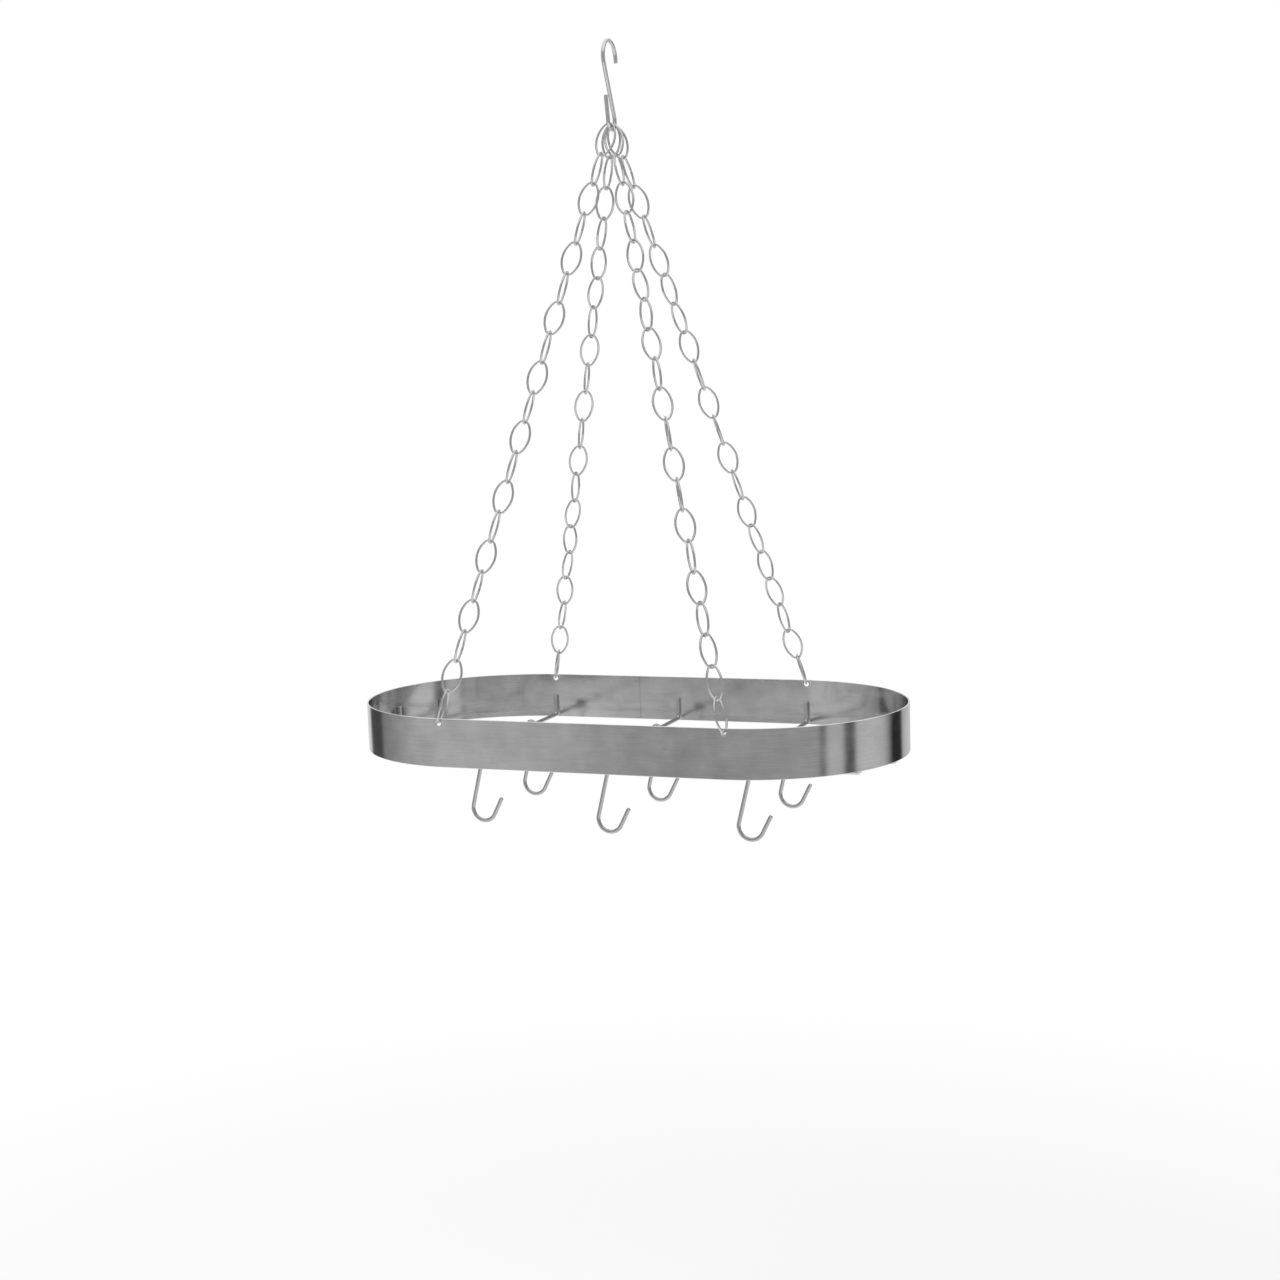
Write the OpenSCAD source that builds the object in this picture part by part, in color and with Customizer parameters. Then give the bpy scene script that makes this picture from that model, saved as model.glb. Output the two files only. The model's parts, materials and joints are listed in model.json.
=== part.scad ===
// Hanging pot rack: an oval steel band with wires across its bottom, hung by four oval-link
// chains from one S-shaped ceiling hook, with six sliding pot hooks on the cross wires.
// Millimetres. The origin is the seat inside the top of the ceiling hook, where it hangs.
// +Z is up, X runs along the band, and -Y is the front.

/* [Band] */
// Length of the band over its round ends
band_length = 508; // [440:1:600]
// Width of the band, front to back
band_width = 260; // [220:1:300]
// Height of the strip
band_height = 43; // [36:1:60]
// Thickness of the strip
band_thickness = 1.5; // [1:0.1:2.5]
// Diameter of the four chain holes
hole_diameter = 5; // [4.8:0.1:6]
// Distance of the chain holes to the left and right of the middle
hole_offset = 130; // [90:1:140]
// Distance of the chain holes below the band's top edge
hole_drop = 4; // [3.6:0.1:6]

/* [Grid wires] */
// Diameter of the wires across and along the band
grid_wire = 4; // [3.4:0.1:4.6]
// Distance between neighbouring cross wires
cross_wire_pitch = 130; // [100:1:140]
// Distance of the inner lengthwise wires from the middle
inner_wire_offset = 20; // [12:1:30]
// Distance of the outer lengthwise wires from the middle
outer_wire_offset = 70; // [60:1:90]
// Height of the cross wires' turned-up ends, from the wire's underside
cross_end_height = 22; // [12:1:30]
// Height of the lengthwise wires' turned-up ends, from the wire's underside
long_end_height = 29; // [14:1:34]
// Radius of the wire bends, at the wire's centre
wire_bend_radius = 4; // [3:0.5:6]
// Depth to which a welded wire is pressed into what it is welded to
weld_depth = 0.2; // [0.1:0.05:0.4]

/* [Chains] */
// Number of links in each chain
link_count = 20; // [17:1:20]
// Length of a link over its ends
link_length = 31.3; // [29:0.1:33]
// Width of a link over its sides
link_width = 18.5; // [17.5:0.1:20]
// Diameter of the link wire
link_wire = 2; // [1.6:0.1:2.1]
// Play where one link pulls on the next
link_play = 0.3; // [0.2:0.05:0.5]
// Play between a chain's last link and the top of its hole
hole_play = 0.6; // [0.5:0.05:0.8]

/* [Ceiling hook] */
// Diameter of the hook's rod
rod = 3.5; // [3:0.1:4]
// Height of the hook over both bends
ceiling_hook_height = 79; // [70:1:95]
// Radius of the upper bend, at the rod's centre
upper_radius = 15; // [12:0.5:17]
// Radius of the lower bend, at the rod's centre
lower_radius = 8; // [7.5:0.5:10]
// Straight length of the upper tip
upper_tip = 2; // [1:0.5:8]
// Straight length of the lower tail
lower_tail = 22; // [14:0.5:26]
// Outward lean of the lower tail
tail_lean = 10; // [0:1:15]
// Play between the hook and the top links
seat_play = 0.65; // [0.5:0.05:0.8]
// Gap between neighbouring top links
top_link_gap = 0.3; // [0.2:0.05:0.4]

/* [Pot hooks] */
// Diameter of the pot hook wire
hook_wire = 3.6; // [3:0.1:4.2]
// Play between a pot hook's curl and its cross wire
curl_play = 0.3; // [0.2:0.05:0.5]
// Angle that the curl reaches round past the side of the cross wire
curl_wrap = 20; // [0:1:40]
// Lean of the stem
stem_lean = 14; // [8:0.1:18]
// Straight length of the stem
stem_length = 54.5; // [40:0.5:75]
// Radius of the bottom bend, at the wire's centre
hook_radius = 11.25; // [9:0.25:14]
// Straight length of the tip
tip_length = 17.5; // [8:0.5:24]
// Outward lean of the tip
tip_lean = 27; // [15:1:35]
// Distance of the pot hooks inside the outer lengthwise wires
hook_inset = 5; // [4:0.5:20]
// Distance of the left front pot hook inside its outer lengthwise wire
left_front_inset = 20; // [4:0.5:30]

/* [Hidden] */
$fn = 48;

// Neighbouring lengths of a bent wire lap by this much.
lap = 0.2;
// A bend is thicker by this hair, so that a length which laps into it ends inside it.
swell = 0.02;

SIDES = ["front_left", "front_right", "back_left", "back_right"];
ROWS = ["front", "back"];
COLUMNS = ["left", "middle", "right"];
WIRE_ROWS = ["front_outer", "front_inner", "back_inner", "back_outer"];

// The band's outline is two half circles, round these middles, and the straight between them.
// At x, a line drawn this far inside the outline runs this far from the middle.
end_centre = (band_length - band_width) / 2;
function outline_y(x, inset) =
  sqrt(pow(band_width / 2 - inset, 2) - pow(max(0, abs(x) - end_centre), 2));

// Heights of the hook's bends: its seat is at zero.
upper_z = rod / 2 - upper_radius;
lower_z = rod - ceiling_hook_height + rod / 2 + lower_radius;

// Four top links lie side by side in the lower bend, on a circle round the bend's centre.
seat_radius = lower_radius - rod / 2 - seat_play - link_wire / 2;
seat_pitch = link_wire + top_link_gap;
SEAT_STEPS = [-1.5, -0.5, 1.5, 0.5];
function seat(side) =
  let (y = SEAT_STEPS[side] * seat_pitch)
  [0, y, lower_z - sqrt(pow(seat_radius, 2) - pow(y, 2))];

// The chains set the height of the band: each is pulled straight from its seat to its hole.
link_reach = link_length - link_wire;
chain_length = link_count * link_reach - (link_count - 1) * (link_wire + link_play);
function side_x(side) = side % 2 == 0 ? -1 : 1;
function side_y(side) = side < 2 ? -1 : 1;
function hole_xy(side) =
  [side_x(side) * hole_offset, side_y(side) * outline_y(hole_offset, band_thickness / 2)];
function hang_z(side) =
  let (s = seat(side), h = hole_xy(side))
  s[2] - sqrt(pow(chain_length, 2) - pow(h[0] - s[0], 2) - pow(h[1] - s[1], 2));
anchor_z = (hang_z(0) + hang_z(1)) / 2;
function anchor(side) = concat(hole_xy(side), anchor_z);

hole_z = anchor_z - (hole_diameter / 2 - link_wire / 2 - hole_play);
band_z = hole_z + hole_drop - band_height;

// How far each link is turned about its chain, on top of the quarter turn from link to link:
// [link, angle] pairs, with a steady change between them.
TURNS = [
  [[1, 0], [3, 9], [link_count, 9]],
  [[1, 0], [4, -5], [8, -46], [link_count - 8, -70], [link_count - 4, -48], [link_count, -15]],
  [[1, 0], [4, -4], [8, -56], [link_count - 8, -56], [link_count - 4, -9], [link_count, 13]],
  [[1, 0], [4, 4], [9, -62], [link_count - 8, -67], [link_count - 4, -28], [link_count, 13]],
];
function roll(side, i) = 90 * ((i + 1) % 2) + lookup(i, TURNS[side]);

// An oval of four arcs that meet where the line through their centres rises 3 in 5.
half_long = link_reach / 2;
half_wide = (link_width - link_wire) / 2;
end_radius = (3 * half_wide - half_long) / 2;
side_radius = end_radius + 5 * (half_wide - end_radius);
side_angle = atan2(3, 4);
lap_angle = lap / side_radius * 180 / PI;

// Grid wires: the cross wires lie flush with the band's bottom edge, the lengthwise ones under them.
upright_inset = band_thickness + grid_wire / 2 - weld_depth;
cross_z = band_z + grid_wire / 2;
long_z = cross_z - grid_wire + weld_depth / 2;
function cross_x(column) = (column - 1) * cross_wire_pitch;
function cross_span(column) = hundredth(2 * outline_y(cross_x(column), upright_inset));
function long_y(row) = [-outer_wire_offset, -inner_wire_offset, inner_wire_offset, outer_wire_offset][row];
function long_span(row) =
  hundredth(2 * (end_centre + sqrt(pow(band_width / 2 - upright_inset, 2) - pow(long_y(row), 2))));
function hundredth(v) = round(v * 100) / 100;

curl_radius = grid_wire / 2 + curl_play + hook_wire / 2;
function hook_y(row, column) =
  row == 1 ? outer_wire_offset - hook_inset :
  (column == 0 ? left_front_inset : hook_inset) - outer_wire_offset;

// Links 2 to the last but one go in pairs; the top and bottom links stand alone.
LINK_GROUPS = concat(
  [[1]],
  [for (i = [2:2:link_count - 1]) [for (k = [i:min(i + 1, link_count - 1)]) k]],
  [[link_count]]
);
function two_digits(n) = n < 10 ? str("0", n) : str(n);
function links_name(side, group) =
  str(SIDES[side], len(group) == 1 ? "_chain_link_" : "_chain_links_", two_digits(group[0]),
      len(group) == 1 ? "" : str("_", two_digits(group[1])));
function cross_name(column) = str(COLUMNS[column], "_cross_wire");
function long_name(row) = str(WIRE_ROWS[row], "_long_wire");
function hook_name(row, column) = str(ROWS[row], "_", COLUMNS[column], "_pot_hook");

// A straight length of wire up from the origin. What follows it starts at its end.
module straight(diameter, length, laps = [lap, lap]) {
  translate([0, 0, -laps[0]]) cylinder(d = diameter, h = length + laps[0] + laps[1]);
  translate([0, 0, length]) children();
}

// A bend from +Z towards +X. What follows it starts at its end.
module bend(diameter, radius, angle) {
  translate([radius, 0, 0]) {
    rotate([90, 0, 0]) rotate([0, 0, 180 - angle])
      rotate_extrude(angle = angle) translate([radius, 0]) circle(d = diameter + swell);
    rotate([0, angle, 0]) translate([-radius, 0, 0]) children();
  }
}

// The same bend towards -X.
module bend_back(diameter, radius, angle) {
  mirror([1, 0, 0]) bend(diameter, radius, angle) children();
}

// The upper bend runs on until it points at the lower one, which turns the other way.
module ceiling_hook() {
  rise = upper_z - lower_z;
  lean = asin((upper_radius + lower_radius) / rise);
  shaft = sqrt(pow(rise, 2) - pow(upper_radius + lower_radius, 2));
  color("silver") translate([0, upper_radius, upper_z - upper_tip]) rotate([0, 0, -90])
    straight(rod, upper_tip, [0, lap]) bend(rod, upper_radius, 180 + lean)
      straight(rod, shaft) bend_back(rod, lower_radius, 180 + lean - tail_lean)
        straight(rod, lower_tail, [lap, 0]);
}

// The outline of the band, drawn in by the given amount.
module oval(inset) {
  square([band_length - band_width, band_width - 2 * inset], center = true);
  for (x = [-end_centre, end_centre]) translate([x, 0]) circle(r = band_width / 2 - inset, $fn = 160);
}

module strip() {
  translate([0, 0, band_z]) linear_extrude(band_height) difference() {
    oval(0);
    oval(band_thickness);
  }
}

module band() {
  color("darkgray") difference() {
    strip();
    for (x = [-hole_offset, hole_offset]) translate([x, 0, hole_z]) rotate([90, 0, 0])
      cylinder(d = hole_diameter, h = band_width + 2, center = true);
  }
}

// A wire with both ends turned up, along X, with its centre line at height zero.
module turned_up_wire(span, end_height) {
  rise = end_height - grid_wire / 2 - wire_bend_radius;
  translate([-span / 2, 0, wire_bend_radius + rise]) rotate([180, 0, 0])
    straight(grid_wire, rise, [0, lap]) bend(grid_wire, wire_bend_radius, 90)
      straight(grid_wire, span - 2 * wire_bend_radius) bend(grid_wire, wire_bend_radius, 90)
        straight(grid_wire, rise, [lap, 0]);
}

// The uprights are pressed flat where they are welded to the inside of the band.
module cross_wire(column) {
  color("gainsboro") difference() {
    translate([cross_x(column), 0, cross_z]) rotate([0, 0, 90])
      turned_up_wire(cross_span(column), cross_end_height);
    strip();
  }
}

module long_wire(row) {
  color("gainsboro") difference() {
    translate([0, long_y(row), long_z]) turned_up_wire(long_span(row), long_end_height);
    strip();
  }
}

// A snug curl over the cross wire, a leaning stem, a round bottom and an open tip.
module pot_hook(row, column) {
  color("whitesmoke") translate([cross_x(column), hook_y(row, column), cross_z])
    rotate([0, -curl_wrap, 0]) translate([-curl_radius, 0, 0])
      bend(hook_wire, curl_radius, 180 + curl_wrap + stem_lean) straight(hook_wire, stem_length)
        bend_back(hook_wire, hook_radius, 180 + stem_lean - tip_lean)
          straight(hook_wire, tip_length, [lap, 0]);
}

// One oval link in the XZ plane, its length along Z.
module link() {
  rotate([90, 0, 0]) for (half = [0, 180]) rotate([0, 0, half]) {
    translate([0, half_long - end_radius, 0]) rotate([0, 0, side_angle])
      rotate_extrude(angle = 180 - 2 * side_angle)
        translate([end_radius, 0]) circle(d = link_wire + swell);
    translate([half_wide - side_radius, 0, 0]) rotate([0, 0, -side_angle - lap_angle])
      rotate_extrude(angle = 2 * (side_angle + lap_angle))
        translate([side_radius, 0]) circle(d = link_wire);
  }
}

// Some of a chain's links, each in its place on the line from the seat to the hole.
module chain_links(side, group) {
  top = seat(side);
  line = top - anchor(side);
  up = line / norm(line);
  step = (norm(line) - link_reach) / (link_count - 1);
  heading = atan2(up[1], up[0]);
  color("lightgray") for (i = group)
    translate(top - up * (half_long + (i - 1) * step)) rotate([0, acos(up[2]), heading])
      rotate([0, 0, roll(side, i) - heading]) link();
}

ceiling_hook();
band();
for (column = [0:2]) {
  cross_wire(column);
}
for (row = [0:3]) {
  long_wire(row);
}
for (row = [0:1], column = [0:2]) {
  pot_hook(row, column);
}
for (side = [0:3], group = LINK_GROUPS) {
  chain_links(side, group);
}
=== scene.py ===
"""Hanging pot rack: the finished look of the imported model.

The band, wires, chains and hooks are made again as rolled strip and bent wire, in metal, where the
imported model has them, and a plain pale studio is set round them.  Metres, +Z up, -Y the front.
"""

import json
import math

import bmesh
import bpy
import numpy as np
from bpy.props import FloatProperty, FloatVectorProperty, IntProperty, PointerProperty
from bpy.types import Operator, Panel, PropertyGroup
from mathutils import Matrix, Vector


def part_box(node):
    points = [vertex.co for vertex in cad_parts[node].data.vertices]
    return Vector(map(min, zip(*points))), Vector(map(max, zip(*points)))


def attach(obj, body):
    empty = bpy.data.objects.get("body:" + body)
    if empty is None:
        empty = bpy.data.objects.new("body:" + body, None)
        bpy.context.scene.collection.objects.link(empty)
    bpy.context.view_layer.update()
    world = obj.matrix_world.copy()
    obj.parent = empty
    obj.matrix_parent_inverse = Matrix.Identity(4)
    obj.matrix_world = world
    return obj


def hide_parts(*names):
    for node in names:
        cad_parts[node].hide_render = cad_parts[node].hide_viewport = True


bl_info = {
    "name": "Hanging Pot Rack",
    "version": (1, 0, 0),
    "blender": (4, 5, 0),
    "location": "View3D > Sidebar > Pot Rack",
    "description": "Makes an oval band, its wire grid, chains and hooks, and a pale studio",
    "category": "Add Mesh",
}

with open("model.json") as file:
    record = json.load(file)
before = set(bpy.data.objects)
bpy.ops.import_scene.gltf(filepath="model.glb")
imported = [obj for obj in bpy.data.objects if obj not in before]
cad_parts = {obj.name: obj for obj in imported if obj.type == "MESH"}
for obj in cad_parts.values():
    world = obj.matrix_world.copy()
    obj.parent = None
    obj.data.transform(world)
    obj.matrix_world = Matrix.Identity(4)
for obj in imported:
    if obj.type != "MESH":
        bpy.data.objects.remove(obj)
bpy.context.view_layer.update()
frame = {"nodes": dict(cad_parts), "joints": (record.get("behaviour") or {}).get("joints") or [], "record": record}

MM = 0.001
RUN_MAP = "run"
SIDES = ("front_left", "front_right", "back_left", "back_right")
COLUMNS = ("left", "middle", "right")
LONG_ROWS = ("front_outer", "front_inner", "back_inner", "back_outer")
HOOK_ROWS = ("front", "back")

BODY_OF = {
    node: body
    for body, nodes in frame["record"]["behaviour"]["bodies"].items()
    for node in nodes
}
JOINTS = {joint["name"]: joint for joint in frame["joints"]}

# The light that the metal mirrors: pale walls with dark cards between them, as pairs of a compass
# angle from the back (+Y) towards +X, in degrees, and a brightness, with an even change between.
WALL_LIGHT = (
    (-180, 0.44), (-166, 0.44), (-163, 0.41), (-160, 0.41), (-157, 0.62), (-150, 0.65), (-125, 0.58),
    (-105, 0.44), (-85, 0.28), (-82, 0.08), (-60, 0.10), (-55, 0.82), (-10, 0.74), (10, 0.68),
    (29, 0.60), (33, 0.04), (48, 0.03), (54, 0.40), (60, 0.65), (88, 0.72), (91, 0.12), (98, 0.14),
    (101, 0.64), (113, 0.64), (115, 0.22), (118, 0.22), (120, 0.46), (180, 0.44),
)


class PotRackSizes(PropertyGroup):
    """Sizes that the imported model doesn't give directly."""

    wire: FloatProperty(
        name="Grid wire", description="Diameter of the grid's wires",
        default=4 * MM, min=1 * MM, max=6 * MM, unit="LENGTH",
    )
    wire_bend: FloatProperty(
        name="Wire bend", description="Radius of the grid wires' turned-up ends, at the centre",
        default=4 * MM, min=2 * MM, max=10 * MM, unit="LENGTH",
    )
    strip: FloatProperty(
        name="Strip thickness", description="Thickness of the band",
        default=1.5 * MM, min=0.8 * MM, max=3 * MM, unit="LENGTH",
    )
    strip_edge: FloatProperty(
        name="Strip edge", description="Radius of the band's rolled edges",
        default=0.4 * MM, min=0.1 * MM, max=0.7 * MM, unit="LENGTH",
    )
    hole: FloatProperty(
        name="Chain hole", description="Diameter of the band's four chain holes",
        default=5 * MM, min=3 * MM, max=10 * MM, unit="LENGTH",
    )
    hole_drop: FloatProperty(
        name="Hole drop", description="Distance of the chain holes below the band's top edge",
        default=4 * MM, min=3 * MM, max=10 * MM, unit="LENGTH",
    )
    hole_offset: FloatProperty(
        name="Hole offset", description="Distance of the chain holes from the middle",
        default=130 * MM, min=50 * MM, max=200 * MM, unit="LENGTH",
    )
    seam_offset: FloatProperty(
        name="Seam offset", description="Place of the band's butt seam along its back",
        default=-40 * MM, min=-100 * MM, max=100 * MM, unit="LENGTH",
    )
    weld: FloatProperty(
        name="Weld depth", description="Depth to which the grid's wires are pressed into the band",
        default=0.2 * MM, min=0, max=0.5 * MM, unit="LENGTH",
    )
    rod: FloatProperty(
        name="Ceiling hook rod", description="Diameter of the ceiling hook's rod",
        default=3.5 * MM, min=2 * MM, max=8 * MM, unit="LENGTH",
    )
    upper_tip: FloatProperty(
        name="Upper tip", description="Straight length of the ceiling hook's upper tip",
        default=2 * MM, min=0, max=20 * MM, unit="LENGTH",
    )
    lower_bend: FloatProperty(
        name="Lower bend", description="Radius of the ceiling hook's lower bend, at the centre",
        default=8 * MM, min=5 * MM, max=15 * MM, unit="LENGTH",
    )
    lower_tail: FloatProperty(
        name="Lower tail", description="Straight length of the ceiling hook's lower tail",
        default=22 * MM, min=0, max=40 * MM, unit="LENGTH",
    )
    tail_lean: FloatProperty(
        name="Tail lean", description="Outward lean of the ceiling hook's lower tail",
        default=math.radians(10), min=0, max=math.radians(30), unit="ROTATION",
    )
    hook_wire: FloatProperty(
        name="Pot hook wire", description="Diameter of the pot hooks' wire",
        default=3.6 * MM, min=1 * MM, max=6 * MM, unit="LENGTH",
    )
    curl_bend: FloatProperty(
        name="Curl", description="Radius of a pot hook's curl over the cross wire, at the centre",
        default=4.1 * MM, min=2 * MM, max=8 * MM, unit="LENGTH",
    )
    curl_wrap: FloatProperty(
        name="Curl wrap", description="Angle that the curl reaches round past the wire's side",
        default=math.radians(20), min=0, max=math.radians(60), unit="ROTATION",
    )
    stem: FloatProperty(
        name="Stem", description="Straight length of a pot hook's stem",
        default=54.5 * MM, min=20 * MM, max=90 * MM, unit="LENGTH",
    )
    stem_lean: FloatProperty(
        name="Stem lean", description="Lean of a pot hook's stem",
        default=math.radians(14), min=0, max=math.radians(30), unit="ROTATION",
    )
    hook_bend: FloatProperty(
        name="Hook bend", description="Radius of a pot hook's bottom bend, at the centre",
        default=11.25 * MM, min=5 * MM, max=20 * MM, unit="LENGTH",
    )
    hook_tip: FloatProperty(
        name="Hook tip", description="Straight length of a pot hook's tip",
        default=17.5 * MM, min=5 * MM, max=40 * MM, unit="LENGTH",
    )
    tip_lean: FloatProperty(
        name="Tip lean", description="Outward lean of a pot hook's tip",
        default=math.radians(27), min=0, max=math.radians(45), unit="ROTATION",
    )
    link_gap: FloatProperty(
        name="Link seam", description="Gap where the ends of a bent link meet",
        default=0.15 * MM, min=0, max=1 * MM, unit="LENGTH",
    )
    wire_sides: IntProperty(
        name="Wire sides", description="Number of faces round a wire",
        default=20, min=8, max=48,
    )


class PotRackFinishes(PropertyGroup):
    """Colours and polish of the metals, and the studio's light."""

    band_colour: FloatVectorProperty(
        name="Band", description="Colour of the band's brushed steel",
        subtype="COLOR", size=3, default=(0.56, 0.56, 0.56), min=0, max=1,
    )
    band_roughness: FloatProperty(
        name="Band roughness", description="Roughness of the band's brushed steel",
        default=0.13, min=0, max=1, subtype="FACTOR",
    )
    wire_colour: FloatVectorProperty(
        name="Grid wire", description="Colour of the grid's plated wire",
        subtype="COLOR", size=3, default=(0.58, 0.58, 0.58), min=0, max=1,
    )
    chain_colour: FloatVectorProperty(
        name="Chain", description="Colour of the chains' plated wire",
        subtype="COLOR", size=3, default=(0.60, 0.60, 0.60), min=0, max=1,
    )
    hook_colour: FloatVectorProperty(
        name="Pot hooks", description="Colour of the pot hooks' plated wire",
        subtype="COLOR", size=3, default=(0.48, 0.48, 0.48), min=0, max=1,
    )
    rod_colour: FloatVectorProperty(
        name="Ceiling hook", description="Colour of the ceiling hook's plated rod",
        subtype="COLOR", size=3, default=(0.66, 0.66, 0.66), min=0, max=1,
    )
    plated_roughness: FloatProperty(
        name="Plating roughness", description="Roughness of the plated wire",
        default=0.17, min=0, max=1, subtype="FACTOR",
    )
    floor_colour: FloatVectorProperty(
        name="Floor", description="Colour of the studio floor",
        subtype="COLOR", size=3, default=(0.86, 0.86, 0.86), min=0, max=1,
    )
    floor_drop: FloatProperty(
        name="Floor drop", description="Distance of the floor below the ceiling hook's seat",
        default=1.6, min=1, max=4, unit="LENGTH",
    )
    wall_distance: FloatProperty(
        name="Wall distance", description="Distance of the mirrored walls from the rack",
        default=3.0, min=1, max=10, unit="LENGTH",
    )
    sky_strength: FloatProperty(
        name="Sky strength", description="Strength of the even white light from all round",
        default=0.8, min=0, max=2,
    )
    lamp_power: FloatProperty(
        name="Lamp power", description="Power of the soft lamp over the rack",
        default=45, min=0, max=500, unit="POWER",
    )
    lens: FloatProperty(
        name="Lens", description="Focal length of the camera, in millimetres",
        default=49.219, min=10, max=200,
    )


# Wire and strip


def bent_path(start, heading, moves, step=math.radians(7.5)):
    """Stations (x, y, heading) of a line in a plane.

    A move is (length,) for a straight or (radius, angle) for a bend, with a left turn positive.
    """
    x, y = start
    path = [(x, y, heading)]
    for move in moves:
        if len(move) == 1:
            x += move[0] * math.cos(heading)
            y += move[0] * math.sin(heading)
            path.append((x, y, heading))
            continue
        radius, angle = move
        turn = math.copysign(radius, angle)
        centre = (x - turn * math.sin(heading), y + turn * math.cos(heading))
        count = max(2, math.ceil(abs(angle) / step))
        for k in range(1, count + 1):
            now = heading + angle * k / count
            path.append((centre[0] + turn * math.sin(now), centre[1] - turn * math.cos(now), now))
        heading += angle
        x, y = path[-1][:2]
    return path


def plane(origin, across, up):
    """A matrix that puts a plane's x along across and its y along up."""
    across, up = Vector(across).normalized(), Vector(up).normalized()
    matrix = Matrix((across, up, across.cross(up))).transposed().to_4x4()
    matrix.translation = Vector(origin)
    return matrix


def run_map(bm):
    """The map that holds each corner's distance along the strip or wire, and across it."""
    return bm.loops.layers.uv.get(RUN_MAP) or bm.loops.layers.uv.new(RUN_MAP)


def add_wire(bm, path, place, diameter, sides, chamfer=0.3 * MM):
    """Round wire along a path, in the plane that place gives, with chamfered cut ends."""
    uv = run_map(bm)
    radius = diameter / 2

    def full(station, step):
        x, y, heading = station
        return x + step * math.cos(heading), y + step * math.sin(heading), heading, radius

    stations = [(*path[0], radius - chamfer), full(path[0], chamfer)]
    stations += [(*station, radius) for station in path[1:-1]]
    stations += [full(path[-1], -chamfer), (*path[-1], radius - chamfer)]
    rings = []
    for x, y, heading, r in stations:
        ring = []
        for k in range(sides):
            turn = 2 * math.pi * k / sides
            out = r * math.cos(turn)
            ring.append(bm.verts.new(place @ Vector((
                x - out * math.sin(heading), y + out * math.cos(heading), r * math.sin(turn)))))
        rings.append(ring)
    lengths = [0.0]
    for a, b in zip(stations, stations[1:]):
        lengths.append(lengths[-1] + math.dist(a[:2], b[:2]))
    for i, (near, far) in enumerate(zip(rings, rings[1:])):
        for k in range(sides):
            n = (k + 1) % sides
            face = bm.faces.new((near[k], far[k], far[n], near[n]))
            low, high = (2 * math.pi * radius * j / sides for j in (k, k + 1))
            here, there = lengths[i:i + 2]
            corners = ((here, low), (there, low), (there, high), (here, high))
            for loop, corner in zip(face.loops, corners):
                loop[uv].uv = corner
    bm.faces.new(rings[0])
    bm.faces.new(reversed(rings[-1]))


def add_weld(bm, centre, size):
    """A small smooth swelling of weld metal, of the given full size."""
    matrix = Matrix.Translation(centre) @ Matrix.Diagonal((*(s / 2 for s in size), 1))
    bmesh.ops.create_uvsphere(bm, u_segments=16, v_segments=8, radius=1, matrix=matrix)


def finish_piece(bm, node, material, sharp=math.radians(35)):
    """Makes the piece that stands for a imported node, on the node's body and in its finish."""
    bmesh.ops.recalc_face_normals(bm, faces=bm.faces)
    mesh = bpy.data.meshes.new("dressed_" + node)
    bm.to_mesh(mesh)
    bm.free()
    mesh.shade_smooth()
    mesh.set_sharp_from_angle(angle=sharp)
    mesh.materials.append(material)
    obj = bpy.data.objects.new(mesh.name, mesh)
    bpy.context.scene.collection.objects.link(obj)
    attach(obj, BODY_OF[node])
    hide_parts(node)


# Metals

# The noise of the streaks and that of the clouds, added up, between the darkest and lightest tone
TONE_NOISE = (0.7, 1.3)
CLOUD_SCALE = 38.0
# The clouds' noise between the best and worst polish, and the shares of the roughness at those
POLISH_NOISE = (0.35, 0.65)
POLISH_SHARES = (0.85, 1.2)
RIPPLE_DEPTH = 0.05 * MM
# A ramp is worked out in a few hundred steps, so it covers little more than the strip's run
RAMP_REACH = 1.05

# Shares of the band's colour that paint light and shade on it: painted shade on its outer side and
# bottom edge, a painted highlight on its top edge and painted light on its inner side
OUTER_PAINTED_SHADE = 0.87
TOP_EDGE_PAINTED_HIGHLIGHT = 1.45
INNER_PAINTED_LIGHT = 1.0


def new_material(name):
    """A material with an empty node tree, and its tree."""
    material = bpy.data.materials.new(name)
    material.use_nodes = True
    material.node_tree.nodes.clear()
    return material, material.node_tree


def add_node(tree, kind, links=None, **settings):
    """A node with its sockets set to values, or linked where the value is another's output."""
    node = tree.nodes.new(kind)
    for key, value in settings.items():
        setattr(node, key, value)
    for key, value in (links or {}).items():
        socket = node.inputs[key]
        if isinstance(value, bpy.types.NodeSocket):
            tree.links.new(value, socket)
        else:
            socket.default_value = value
    return node


def set_stops(ramp, stops):
    """Gives a colour ramp grey stops, as pairs of a place and a brightness."""
    elements = ramp.color_ramp.elements
    elements.remove(elements[-1])
    for k, (place, light) in enumerate(stops):
        element = elements.new(place) if k else elements[0]
        element.position = place
        element.color = (light, light, light, 1)


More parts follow.
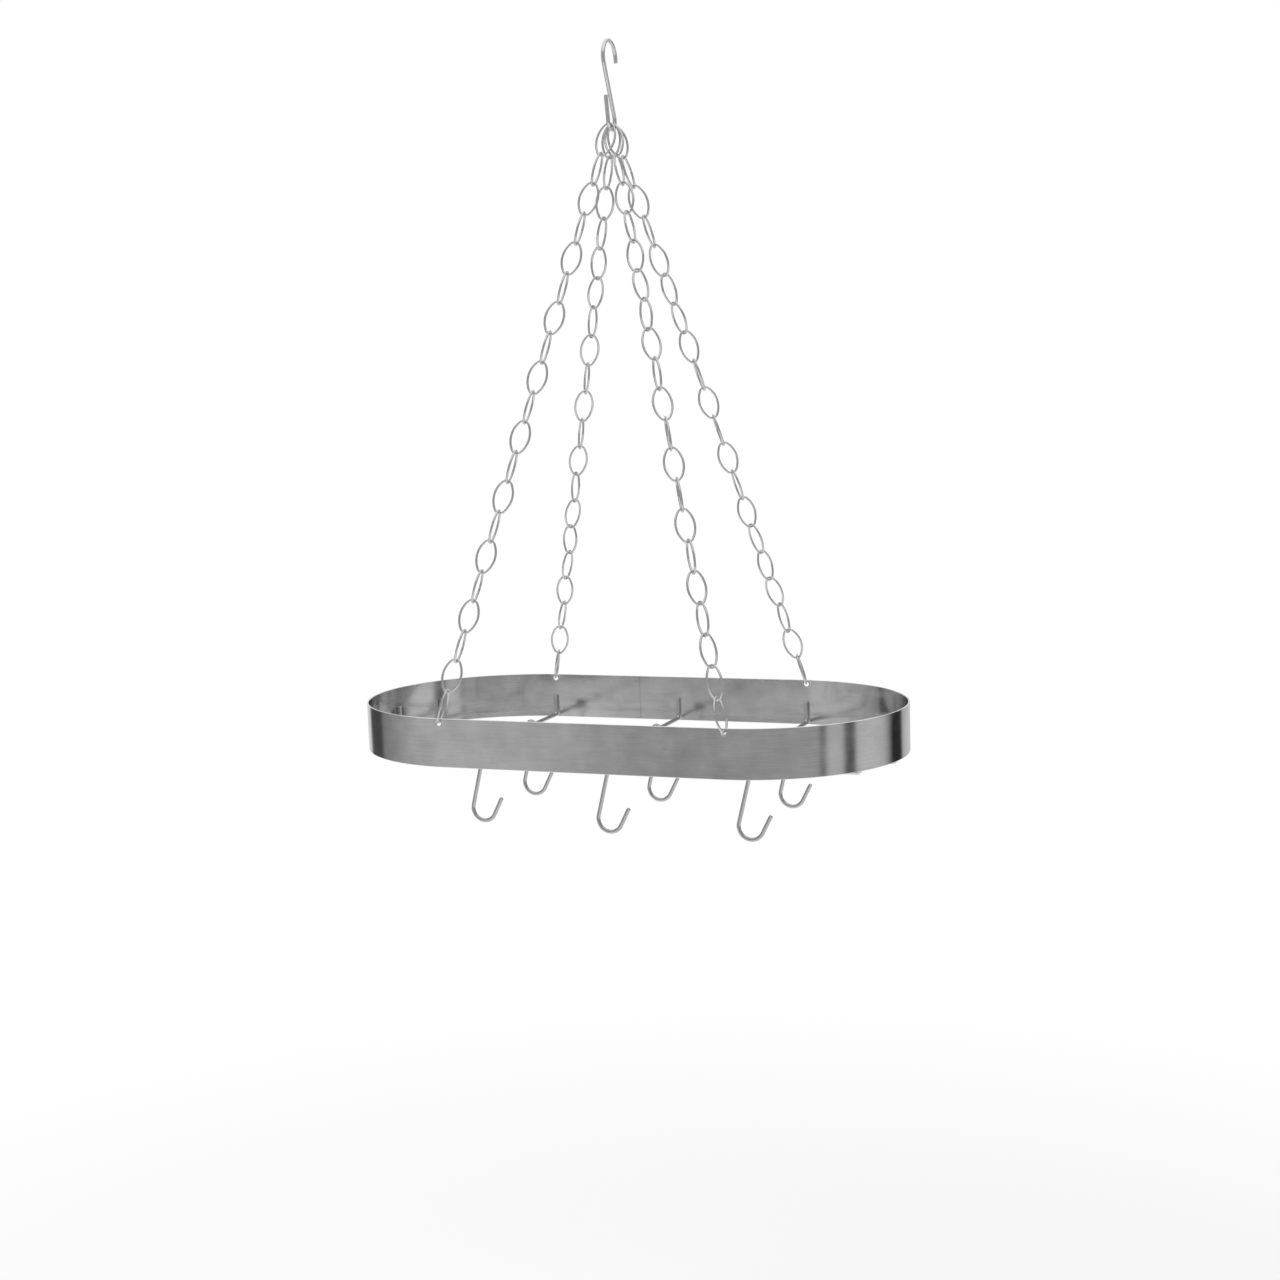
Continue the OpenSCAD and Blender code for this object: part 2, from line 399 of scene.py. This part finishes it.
def metal(name, colour, roughness, streaks, bump, mottle=0.09, painted_shade_shares=()):
    """Metal with fine streaks along the strip or wire, and a faint unevenness of tone and polish.

    streaks is how many of them there are to a metre along the piece, and across it. mottle is the
    share of the colour that comes and goes. shades are pairs of a distance across the strip and
    the share of the colour that the strip keeps from there on, which paints light and shade on it.
    """
    material, tree = new_material(name)
    run = add_node(tree, "ShaderNodeUVMap", uv_map=RUN_MAP)
    stretch = add_node(tree, "ShaderNodeMapping", {"Vector": run.outputs["UV"], "Scale": (*streaks, 1)})
    grain = add_node(tree, "ShaderNodeTexNoise", {
        "Vector": stretch.outputs["Vector"], "Scale": 1.0, "Detail": 4.0, "Roughness": 0.6})
    place = add_node(tree, "ShaderNodeTexCoord")
    cloud = add_node(tree, "ShaderNodeTexNoise", {
        "Vector": place.outputs["Object"], "Scale": CLOUD_SCALE, "Detail": 3.0, "Roughness": 0.55})
    both = add_node(tree, "ShaderNodeMath", {0: grain.outputs["Fac"], 1: cloud.outputs["Fac"]},
                    operation="ADD")
    tone = add_node(tree, "ShaderNodeMapRange", {
        "Value": both.outputs[0], "From Min": TONE_NOISE[0], "From Max": TONE_NOISE[1]})
    tint = add_node(tree, "ShaderNodeMix", {
        "Factor": tone.outputs["Result"],
        "A": (*(c * (1 - mottle) for c in colour), 1),
        "B": (*(c * (1 + mottle) for c in colour), 1)}, data_type="RGBA")
    # Steps across the strip that multiply the colour: painted light and shade, not a change of the metal
    if painted_shade_shares:
        reach = RAMP_REACH * painted_shade_shares[-1][0]
        axes = add_node(tree, "ShaderNodeSeparateXYZ", {0: run.outputs["UV"]})
        across = add_node(tree, "ShaderNodeMath", {0: axes.outputs["Y"], 1: reach}, operation="DIVIDE")
        ramp = add_node(tree, "ShaderNodeValToRGB", {"Fac": across.outputs[0]})
        ramp.color_ramp.interpolation = "CONSTANT"
        set_stops(ramp, [(where / reach, share) for where, share in painted_shade_shares])
        tint = add_node(tree, "ShaderNodeMix", {
            "Factor": 1.0, "A": tint.outputs["Result"], "B": ramp.outputs["Color"]},
            data_type="RGBA", blend_type="MULTIPLY")
    polish = add_node(tree, "ShaderNodeMapRange", {
        "Value": cloud.outputs["Fac"], "From Min": POLISH_NOISE[0], "From Max": POLISH_NOISE[1],
        "To Min": roughness * POLISH_SHARES[0], "To Max": roughness * POLISH_SHARES[1]})
    ripple = add_node(tree, "ShaderNodeBump", {
        "Height": grain.outputs["Fac"], "Strength": bump, "Distance": RIPPLE_DEPTH})
    shader = add_node(tree, "ShaderNodeBsdfPrincipled", {
        "Base Color": tint.outputs["Result"], "Roughness": polish.outputs["Result"],
        "Normal": ripple.outputs["Normal"], "Metallic": 1.0})
    add_node(tree, "ShaderNodeOutputMaterial", {"Surface": shader.outputs["BSDF"]})
    return material


def band_steel(finishes, height):
    """Bright rolled steel with brush lines along it, with painted light and shade: its outer side
    darker, its inner side lighter and a painted highlight along its top edge.
    """
    top_edge = height - 1.2 * MM
    inner_side = height + 1 * MM
    bottom_edge = 2 * height
    # Painted shade on the outer side and bottom edge, a painted highlight on the top edge, painted light inside
    painted_shade_shares = ((0, OUTER_PAINTED_SHADE), (top_edge, TOP_EDGE_PAINTED_HIGHLIGHT), (inner_side, INNER_PAINTED_LIGHT),
              (bottom_edge, OUTER_PAINTED_SHADE))
    return metal("rolled_band_steel", [c / OUTER_PAINTED_SHADE for c in finishes.band_colour],
                 finishes.band_roughness, (25, 2500), 0.12, mottle=0.16, painted_shade_shares=painted_shade_shares)


def plated_wire(name, colour, finishes):
    """Bright plated wire with faint drawing lines along it."""
    return metal(name, colour, finishes.plated_roughness, (60, 1500), 0.15)


# The band

# Distance between the strip's columns of corners, and their number across the patch round a hole
COLUMN_STEP = 4 * MM
PATCH_COLUMNS = 8
HOLE_SIDES = 32
# The bevel of the strip's two ends, half the gap between them, and the chamfer of each hole
BEVEL = 0.3 * MM
HALF_SEAM = 0.03 * MM
COUNTERSINK = 0.2 * MM
# Places along the strip that are nearer than this are the same
CLOSE = 0.01 * MM


class Outline:
    """The band's outline from its seam on the back, round the left end first."""

    def __init__(self, half_length, half_width, seam):
        self.radius = half_width
        self.middle = half_length - half_width
        self.seam = seam
        arc = math.pi * half_width
        self.runs = (seam + self.middle, arc, 2 * self.middle, arc, self.middle - seam)
        self.length = sum(self.runs)

    def at(self, s):
        """The point and the outward direction at a distance along the outline."""
        back, left, front, right, _ = self.runs
        if s < back:
            return Vector((self.seam - s, self.radius, 0)), Vector((0, 1, 0))
        s -= back
        if s < left:
            return self.on_end(-self.middle, math.pi / 2 + s / self.radius)
        s -= left
        if s < front:
            return Vector((s - self.middle, -self.radius, 0)), Vector((0, -1, 0))
        s -= front
        if s < right:
            return self.on_end(self.middle, s / self.radius - math.pi / 2)
        return Vector((self.middle - s + right, self.radius, 0)), Vector((0, 1, 0))

    def on_end(self, x, angle):
        """The point and direction at an angle round the end whose centre is at x."""
        out = Vector((math.cos(angle), math.sin(angle), 0))
        return Vector((x, 0, 0)) + out * self.radius, out

    def find(self, x, y):
        """The distance along the outline of the point on it at x, on y's side."""
        back, left, front, _, _ = self.runs
        past = max(0, abs(x) - self.middle) / self.radius
        bend = math.asin(past) * self.radius
        flat = min(abs(x), self.middle)
        if y > 0:
            return self.seam + flat + bend if x < 0 else self.length - (flat - self.seam) - bend
        middle = back + left + front / 2
        return middle + math.copysign(flat + bend, x)


def strip_section(thickness, height, edge, marks, steps=3):
    """(offset, height) round the strip's section, from low on the outer side, with rolled edges."""
    half = thickness / 2

    def corner(cx, cz, start):
        angles = [math.radians(start + 90 * k / steps) for k in range(steps + 1)]
        return [(cx + edge * math.cos(angle), cz + edge * math.sin(angle)) for angle in angles]

    section = [(half, z) for z in marks]
    section += corner(half - edge, height - edge, 0) + corner(edge - half, height - edge, 90)
    section += [(-half, z) for z in reversed(marks)]
    section += corner(edge - half, edge, 180) + corner(half - edge, edge, 270)
    return section


class POTRACK_OT_band(Operator):
    """Make the oval band: one strip rolled on edge, butted on its back, with four chain holes"""

    bl_idname = "potrack.band"
    bl_label = "Band"

    def execute(self, context):
        sizes = context.scene.pot_rack_sizes
        low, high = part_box("band")
        half = sizes.strip / 2
        height = high.z - low.z
        line = Outline(high.x - half, high.y - half, sizes.seam_offset)
        hole_z = height - sizes.hole_drop
        patch = 2 * sizes.hole
        patch_foot = hole_z - patch / 2 + 1 * MM
        support = sizes.strip_edge + 0.25 * MM
        marks = (support, patch_foot, height - support)
        section = strip_section(sizes.strip, height, sizes.strip_edge, marks)
        lengths = [0.0]
        for a, b in zip(section, section[1:] + section[:1]):
            lengths.append(lengths[-1] + math.dist(a, b))
        holes = sorted(
            line.find(x, y) for x in (-sizes.hole_offset, sizes.hole_offset) for y in (-1, 1))

        bm = bmesh.new()
        uv = run_map(bm)
        spot = {}

        def vertex(s, offset, z, v):
            point, out = line.at(s)
            made = bm.verts.new(point + out * offset + Vector((0, 0, low.z + z)))
            spot[made] = (s, v)
            return made

        def column(s, inset=0.0):
            ring = []
            for (offset, z), v in zip(section, lengths):
                offset -= math.copysign(inset, offset)
                z = min(max(z, inset), height - inset)
                ring.append(vertex(s, offset, z, v))
            return ring

        stops = [(HALF_SEAM, BEVEL), (BEVEL, 0.0)]
        patch_ends = [h + side * patch / 2 for h in holes for side in (-1, 1)]
        ends = [BEVEL, *patch_ends, line.length - BEVEL]
        for i, (a, b) in enumerate(zip(ends, ends[1:])):
            count = PATCH_COLUMNS if i % 2 else math.ceil((b - a) / COLUMN_STEP)
            stops += [(a + (b - a) * k / count, 0.0) for k in range(1, count + 1)]
        stops.append((line.length - HALF_SEAM, BEVEL))
        columns = [column(*stop) for stop in stops]
        outer = len(marks) - 2
        inner = section.index((-half, marks[-1]))
        for (s, _), near, far in zip(stops, columns, columns[1:]):
            drilled = any(h - patch / 2 - CLOSE < s < h + patch / 2 - CLOSE for h in holes)
            for k in range(len(section)):
                if drilled and k in (outer, inner):
                    continue
                n = (k + 1) % len(section)
                bm.faces.new((near[k], near[n], far[n], far[k]))
        bm.faces.new(columns[0])
        bm.faces.new(reversed(columns[-1]))
        gaps = [e for e in bm.edges if e.is_boundary]

        for h in holes:
            rings = []
            for offset, grow in ((half, COUNTERSINK), (half - COUNTERSINK, 0),
                                 (COUNTERSINK - half, 0), (-half, COUNTERSINK)):
                radius = sizes.hole / 2 + grow
                ring = []
                for k in range(HOLE_SIDES):
                    angle = 2 * math.pi * k / HOLE_SIDES
                    z = hole_z + radius * math.sin(angle)
                    v = lengths[outer] + z - marks[outer]
                    ring.append(vertex(h + radius * math.cos(angle), offset, z, v))
                rings.append(ring)
            for near, far in zip(rings, rings[1:]):
                for k in range(HOLE_SIDES):
                    n = (k + 1) % HOLE_SIDES
                    bm.faces.new((near[k], near[n], far[n], far[k]))
            point, out = line.at(h)
            for ring, side in ((rings[0], 1), (rings[-1], -1)):
                rim = [bm.edges.get(pair) for pair in zip(ring, ring[1:] + ring[:1])]
                around = [
                    e for e in gaps
                    if all(abs(spot[v][0] - h) < patch / 2 + CLOSE for v in e.verts)
                    and all((v.co - point).dot(out) * side > 0 for v in e.verts)
                ]
                bmesh.ops.bridge_loops(bm, edges=rim + around)
        for face in bm.faces:
            for loop in face.loops:
                loop[uv].uv = spot[loop.vert]
        finish_piece(bm, "band", band_steel(context.scene.pot_rack_finishes, height))
        return {"FINISHED"}


# The grid

# Full sizes of the spots of weld: where two wires cross, and where an upright stands against the
# band's straight sides or its round ends, at these heights above the wire's middle
CROSSING_WELD = (3.8 * MM, 3.8 * MM, 1.4 * MM)
SIDE_WELD = (2.6 * MM, 1.2 * MM, 3.4 * MM)
END_WELD = (1.6 * MM, 2.4 * MM, 3.4 * MM)
WELD_HEIGHTS = (7 * MM, 14 * MM)


def inner_reach(sizes):
    """(middle, radius) of the round line inside the band on which the wires' uprights stand."""
    _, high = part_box("band")
    inset = sizes.strip + sizes.wire / 2 - sizes.weld
    return high.x - high.y, high.y - inset


def add_grid_wire(bm, node, half_span, across, sizes):
    """A wire with both ends turned up, along the across direction, on the node's own centre line."""
    low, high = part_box(node)
    centre = (low + high) / 2
    origin = Vector((centre.x, centre.y, low.z + sizes.wire / 2))
    rise = high.z - low.z - sizes.wire / 2 - sizes.wire_bend
    run = 2 * (half_span - sizes.wire_bend)
    quarter = math.pi / 2
    path = bent_path((-half_span, sizes.wire_bend + rise), -quarter, [
        (rise,), (sizes.wire_bend, quarter), (run,), (sizes.wire_bend, quarter), (rise,)])
    add_wire(bm, path, plane(origin, across, (0, 0, 1)), sizes.wire, sizes.wire_sides)
    return origin


class POTRACK_OT_grid(Operator):
    """Make the grid: three wires across the band and four along it, turned up and welded"""

    bl_idname = "potrack.grid"
    bl_label = "Grid Wires"

    def execute(self, context):
        sizes = context.scene.pot_rack_sizes
        finishes = context.scene.pot_rack_finishes
        material = plated_wire("plated_grid_wire", finishes.wire_colour, finishes)
        middle, radius = inner_reach(sizes)
        cross_x = []
        for column in COLUMNS:
            node = column + "_cross_wire"
            low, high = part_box(node)
            x = (low.x + high.x) / 2
            cross_x.append(x)
            half_span = math.sqrt(radius ** 2 - max(0, abs(x) - middle) ** 2)
            bm = bmesh.new()
            origin = add_grid_wire(bm, node, half_span, (0, 1, 0), sizes)
            for side in (-1, 1):
                self.add_upright_welds(bm, origin + Vector((0, side * half_span, 0)),
                                       Vector((0, side, 0)), sizes)
            finish_piece(bm, node, material)
        cross_z = origin.z
        for row in LONG_ROWS:
            node = row + "_long_wire"
            low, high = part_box(node)
            y = (low.y + high.y) / 2
            reach = math.sqrt(radius ** 2 - y ** 2)
            bm = bmesh.new()
            origin = add_grid_wire(bm, node, middle + reach, (1, 0, 0), sizes)
            for side in (-1, 1):
                out = Vector((side * reach, y, 0)).normalized()
                self.add_upright_welds(bm, origin + Vector((side * (middle + reach), 0, 0)), out, sizes)
            for x in cross_x:
                add_weld(bm, (x, y, (cross_z + origin.z) / 2), CROSSING_WELD)
            finish_piece(bm, node, material)
        return {"FINISHED"}

    @staticmethod
    def add_upright_welds(bm, foot, out, sizes):
        """Two spots of weld where an upright stands against the band."""
        size = SIDE_WELD if abs(out.y) > 0.8 else END_WELD
        for height in WELD_HEIGHTS:
            centre = foot + out * (sizes.wire / 2 - sizes.weld) + Vector((0, 0, height))
            add_weld(bm, centre, size)


# The hooks


class POTRACK_OT_ceiling_hook(Operator):
    """Make the S-shaped ceiling hook of round rod"""

    bl_idname = "potrack.ceiling_hook"
    bl_label = "Ceiling Hook"

    def execute(self, context):
        sizes = context.scene.pot_rack_sizes
        finishes = context.scene.pot_rack_finishes
        low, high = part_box("ceiling_hook")
        upper = (high.y - low.y - sizes.rod) / 2
        upper_z = sizes.rod / 2 - upper
        lower_z = low.z + sizes.rod / 2 + sizes.lower_bend
        fall = upper_z - lower_z
        lean = math.asin((upper + sizes.lower_bend) / fall)
        shaft = math.sqrt(fall ** 2 - (upper + sizes.lower_bend) ** 2)
        path = bent_path((-upper, upper_z - sizes.upper_tip), math.pi / 2, [
            (sizes.upper_tip,), (upper, -math.pi - lean), (shaft,),
            (sizes.lower_bend, math.pi + lean - sizes.tail_lean), (sizes.lower_tail,)])
        bm = bmesh.new()
        add_wire(bm, path, plane((0, 0, 0), (0, -1, 0), (0, 0, 1)), sizes.rod, sizes.wire_sides + 4,
                 chamfer=0.5 * MM)
        finish_piece(bm, "ceiling_hook", plated_wire("plated_hook_rod", finishes.rod_colour, finishes))
        return {"FINISHED"}


class POTRACK_OT_pot_hooks(Operator):
    """Make the six pot hooks, each curled over a cross wire"""

    bl_idname = "potrack.pot_hooks"
    bl_label = "Pot Hooks"

    def execute(self, context):
        sizes = context.scene.pot_rack_sizes
        finishes = context.scene.pot_rack_finishes
        material = plated_wire("plated_pot_hook_wire", finishes.hook_colour, finishes)
        wrap = sizes.curl_wrap
        start = (-sizes.curl_bend * math.cos(wrap), -sizes.curl_bend * math.sin(wrap))
        path = bent_path(start, math.pi / 2 + wrap, [
            (sizes.curl_bend, -math.pi - wrap - sizes.stem_lean), (sizes.stem,),
            (sizes.hook_bend, math.pi + sizes.stem_lean - sizes.tip_lean), (sizes.hook_tip,)])
        for row in HOOK_ROWS:
            for column in COLUMNS:
                node = "%s_%s_pot_hook" % (row, column)
                centre = Vector(JOINTS[node + "_swing"]["pos_m"])
                bm = bmesh.new()
                add_wire(bm, path, plane(centre, (1, 0, 0), (0, 0, 1)), sizes.hook_wire,
                         sizes.wire_sides, chamfer=0.4 * MM)
                finish_piece(bm, node, material)
        return {"FINISHED"}


# The chains


def link_path(length, width, wire, gap):
    """An oval of four arcs that meet where the line through their centres rises 3 in 5.

    It starts and ends at a seam halfway along one side.
    """
    half_long, half_wide = (length - wire) / 2, (width - wire) / 2
    end = (3 * half_wide - half_long) / 2
    side = end + 5 * (half_wide - end)
    lean = math.atan2(3, 4)
    open_angle = gap / 2 / side
    start = (half_wide - side + side * math.cos(open_angle), side * math.sin(open_angle))
    around = math.pi - 2 * lean
    return bent_path(start, math.pi / 2 + open_angle, [
        (side, lean - open_angle), (end, around), (side, 2 * lean), (end, around),
        (side, lean - open_angle)], step=math.radians(9))


def node_points(node):
    """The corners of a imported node's mesh, one to a row."""
    mesh = frame["nodes"][node].data
    points = np.empty(len(mesh.vertices) * 3, np.float32)
    mesh.vertices.foreach_get("co", points)
    return points.reshape(-1, 3).astype(float)


def facing(points, centre, up, reach):
    """The direction across a link, from the corners of its two sides near its middle."""
    arms = points - centre
    along = arms @ up
    arms = arms[np.abs(along) < reach]
    arms -= np.outer(arms @ up, up)
    return np.linalg.eigh(arms.T @ arms)[1][:, -1]


class POTRACK_OT_chains(Operator):
    """Make the four chains of oval links, each link bent from wire with a seam in its side"""

    bl_idname = "potrack.chains"
    bl_label = "Chains"

    def execute(self, context):
        sizes = context.scene.pot_rack_sizes
        finishes = context.scene.pot_rack_finishes
        material = plated_wire("plated_chain_wire", finishes.chain_colour, finishes)
        for side in SIDES:
            up = np.array(JOINTS[side + "_chain_twist"]["axis"])
            top = np.array(JOINTS[side + "_chain_twist"]["pos_m"])
            first = node_points(side + "_chain_link_01")
            spread = (first - top) @ up
            length = spread.max() - spread.min()
            centre = top + up * (spread.max() + spread.min()) / 2
            across = facing(first, centre, up, length / 4)
            width = np.ptp((first - centre) @ across)
            wire = round(np.ptp((first - centre) @ np.cross(up, across)) / MM, 1) * MM
            path = link_path(length, width, wire, sizes.link_gap)
            nodes = [n for n in frame["nodes"] if n.startswith(side + "_chain_link")]
            for node in nodes:
                points = node_points(node)
                spread = (points - top) @ up
                ends = {round(spread.max() - length / 2, 4), round(spread.min() + length / 2, 4)}
                bm = bmesh.new()
                for place in sorted(ends, reverse=True):
                    centre = top + up * place
                    across = facing(points, centre, up, length / 4)
                    add_wire(bm, path, plane(centre, across, up), wire, sizes.wire_sides - 4,
                             chamfer=0.15 * MM)
                finish_piece(bm, node, material)
        return {"FINISHED"}


# The studio

FLOOR_RADIUS = 12
# Distances from the middle between which the floor turns plain white
FLOOR_FADE = (0.6, 2.2)
WALL_HEIGHT = 3.4
LAMP_SIZE = 1.6
LAMP_PLACE = (-0.5, -0.8, 1.6)
LAMP_AIM = (0.5, 0.8, -2.0)
# The camera's place, and its tilt up from straight down, its turn to the left and its roll
CAMERA_PLACE = (567.99 * MM, -1468.89 * MM, -319.02 * MM)
CAMERA_TILT = math.radians(82.579)
CAMERA_TURN = math.radians(20.778)
CAMERA_ROLL = math.radians(-1.89)
SENSOR_WIDTH = 36


def add_stage_object(name, bm, material):
    """A stage object from a mesh."""
    mesh = bpy.data.meshes.new(name)
    bm.to_mesh(mesh)
    bm.free()
    mesh.materials.append(material)
    obj = bpy.data.objects.new(name, mesh)
    bpy.context.scene.collection.objects.link(obj)
    return obj


def seen_plainly(tree):
    """1 for rays that come straight from the camera, a mirror or glass, and 0 for the rest."""
    rays = add_node(tree, "ShaderNodeLightPath")
    some = add_node(tree, "ShaderNodeMath", {
        0: rays.outputs["Is Camera Ray"], 1: rays.outputs["Is Glossy Ray"]}, operation="MAXIMUM")
    return add_node(tree, "ShaderNodeMath", {
        0: some.outputs[0], 1: rays.outputs["Is Transmission Ray"]}, operation="MAXIMUM").outputs[0]


def floor_material(finishes):
    """Pale matt floor that keeps a shadow under the rack and turns plain white further out."""
    material, tree = new_material("studio_floor")
    place = add_node(tree, "ShaderNodeNewGeometry")
    flat = add_node(tree, "ShaderNodeVectorMath", {
        0: place.outputs["Position"], 1: (1, 1, 0)}, operation="MULTIPLY")
    away = add_node(tree, "ShaderNodeVectorMath", {0: flat.outputs[0]}, operation="LENGTH")
    fade = add_node(tree, "ShaderNodeMapRange", {
        "Value": away.outputs["Value"], "From Min": FLOOR_FADE[0], "From Max": FLOOR_FADE[1]},
        interpolation_type="SMOOTHSTEP")
    share = add_node(tree, "ShaderNodeMath", {
        0: fade.outputs["Result"], 1: seen_plainly(tree)}, operation="MULTIPLY")
    matt = add_node(tree, "ShaderNodeBsdfDiffuse", {"Color": (*finishes.floor_colour, 1)})
    white = add_node(tree, "ShaderNodeEmission", {"Color": (1, 1, 1, 1), "Strength": 1.0})
    mix = add_node(tree, "ShaderNodeMixShader", {
        0: share.outputs[0], 1: matt.outputs[0], 2: white.outputs[0]})
    add_node(tree, "ShaderNodeOutputMaterial", {"Surface": mix.outputs[0]})
    return material


def wall_material():
    """Pale walls and dark cards round the rack, which only its metal mirrors."""
    material, tree = new_material("studio_walls")
    place = add_node(tree, "ShaderNodeNewGeometry")
    axes = add_node(tree, "ShaderNodeSeparateXYZ", {0: place.outputs["Position"]})
    angle = add_node(tree, "ShaderNodeMath", {0: axes.outputs["X"], 1: axes.outputs["Y"]},
                     operation="ARCTAN2")
    turn = add_node(tree, "ShaderNodeMapRange", {
        "Value": angle.outputs[0], "From Min": -math.pi, "From Max": math.pi})
    ramp = add_node(tree, "ShaderNodeValToRGB", {"Fac": turn.outputs["Result"]})
    set_stops(ramp, [((degrees + 180) / 360, light) for degrees, light in WALL_LIGHT])
    glow = add_node(tree, "ShaderNodeEmission", {"Color": ramp.outputs["Color"], "Strength": 1.0})
    add_node(tree, "ShaderNodeOutputMaterial", {"Surface": glow.outputs[0]})
    return material


class POTRACK_OT_studio(Operator):
    """Make the stage: a pale floor, mirrored walls, a white sky, a soft lamp and the camera"""

    bl_idname = "potrack.studio"
    bl_label = "Studio"

    def execute(self, context):
        scene = context.scene
        finishes = scene.pot_rack_finishes
        floor_z = -finishes.floor_drop

        bm = bmesh.new()
        bmesh.ops.create_circle(bm, cap_ends=True, segments=96, radius=FLOOR_RADIUS,
                                matrix=Matrix.Translation((0, 0, floor_z)))
        add_stage_object("studio_floor", bm, floor_material(finishes))

        bm = bmesh.new()
        bmesh.ops.create_circle(bm, segments=192, radius=finishes.wall_distance,
                                matrix=Matrix.Translation((0, 0, floor_z)))
        wall = bmesh.ops.extrude_edge_only(bm, edges=bm.edges[:])
        bmesh.ops.translate(bm, vec=(0, 0, WALL_HEIGHT),
                            verts=[v for v in wall["geom"] if isinstance(v, bmesh.types.BMVert)])
        walls = add_stage_object("studio_walls", bm, wall_material())
        walls.visible_camera = False
        walls.visible_diffuse = False
        walls.visible_transmission = False
        walls.visible_volume_scatter = False
        walls.visible_shadow = False

        world = bpy.data.worlds.new("studio_sky")
        world.use_nodes = True
        tree = world.node_tree
        tree.nodes.clear()
        strength = add_node(tree, "ShaderNodeMapRange", {
            "Value": seen_plainly(tree), "To Min": finishes.sky_strength, "To Max": 1.0})
        sky = add_node(tree, "ShaderNodeBackground", {
            "Color": (1, 1, 1, 1), "Strength": strength.outputs["Result"]})
        add_node(tree, "ShaderNodeOutputWorld", {"Surface": sky.outputs[0]})
        scene.world = world

        lamp = bpy.data.lights.new("soft_lamp", "AREA")
        lamp.shape = "DISK"
        lamp.size = LAMP_SIZE
        lamp.energy = finishes.lamp_power
        holder = bpy.data.objects.new("soft_lamp", lamp)
        holder.location = LAMP_PLACE
        holder.rotation_euler = Vector(LAMP_AIM).to_track_quat("-Z", "Y").to_euler()
        holder.visible_glossy = False
        scene.collection.objects.link(holder)

        camera = bpy.data.cameras.new("camera")
        camera.sensor_width = SENSOR_WIDTH
        camera.lens = finishes.lens
        camera.clip_start = 0.05
        camera.clip_end = 100
        viewer = bpy.data.objects.new("camera", camera)
        viewer.matrix_world = (
            Matrix.Translation(CAMERA_PLACE)
            @ Matrix.Rotation(CAMERA_TURN, 4, "Z")
            @ Matrix.Rotation(CAMERA_TILT, 4, "X")
            @ Matrix.Rotation(CAMERA_ROLL, 4, "Z"))
        scene.collection.objects.link(viewer)
        scene.camera = viewer
        scene.view_settings.view_transform = "Standard"
        return {"FINISHED"}


class POTRACK_PT_panel(Panel):
    """The steps that make the rack and its studio, in order"""

    bl_idname = "POTRACK_PT_panel"
    bl_label = "Hanging Pot Rack"
    bl_space_type = "VIEW_3D"
    bl_region_type = "UI"
    bl_category = "Pot Rack"

    def draw(self, context):
        layout = self.layout
        for step in STEPS:
            layout.operator(step.bl_idname)
        for group in (context.scene.pot_rack_sizes, context.scene.pot_rack_finishes):
            box = layout.box()
            for name in group.__annotations__:
                box.prop(group, name)


STEPS = (
    POTRACK_OT_studio,
    POTRACK_OT_band,
    POTRACK_OT_grid,
    POTRACK_OT_chains,
    POTRACK_OT_ceiling_hook,
    POTRACK_OT_pot_hooks,
)
CLASSES = (PotRackSizes, PotRackFinishes, *STEPS, POTRACK_PT_panel)


def register():
    for cls in CLASSES:
        bpy.utils.register_class(cls)
    bpy.types.Scene.pot_rack_sizes = PointerProperty(type=PotRackSizes)
    bpy.types.Scene.pot_rack_finishes = PointerProperty(type=PotRackFinishes)


def unregister():
    del bpy.types.Scene.pot_rack_finishes
    del bpy.types.Scene.pot_rack_sizes
    for cls in reversed(CLASSES):
        bpy.utils.unregister_class(cls)


def main():
    register()
    bpy.ops.potrack.studio()
    bpy.ops.potrack.band()
    bpy.ops.potrack.grid()
    bpy.ops.potrack.chains()
    bpy.ops.potrack.ceiling_hook()
    bpy.ops.potrack.pot_hooks()


if __name__ == "__main__":
    main()
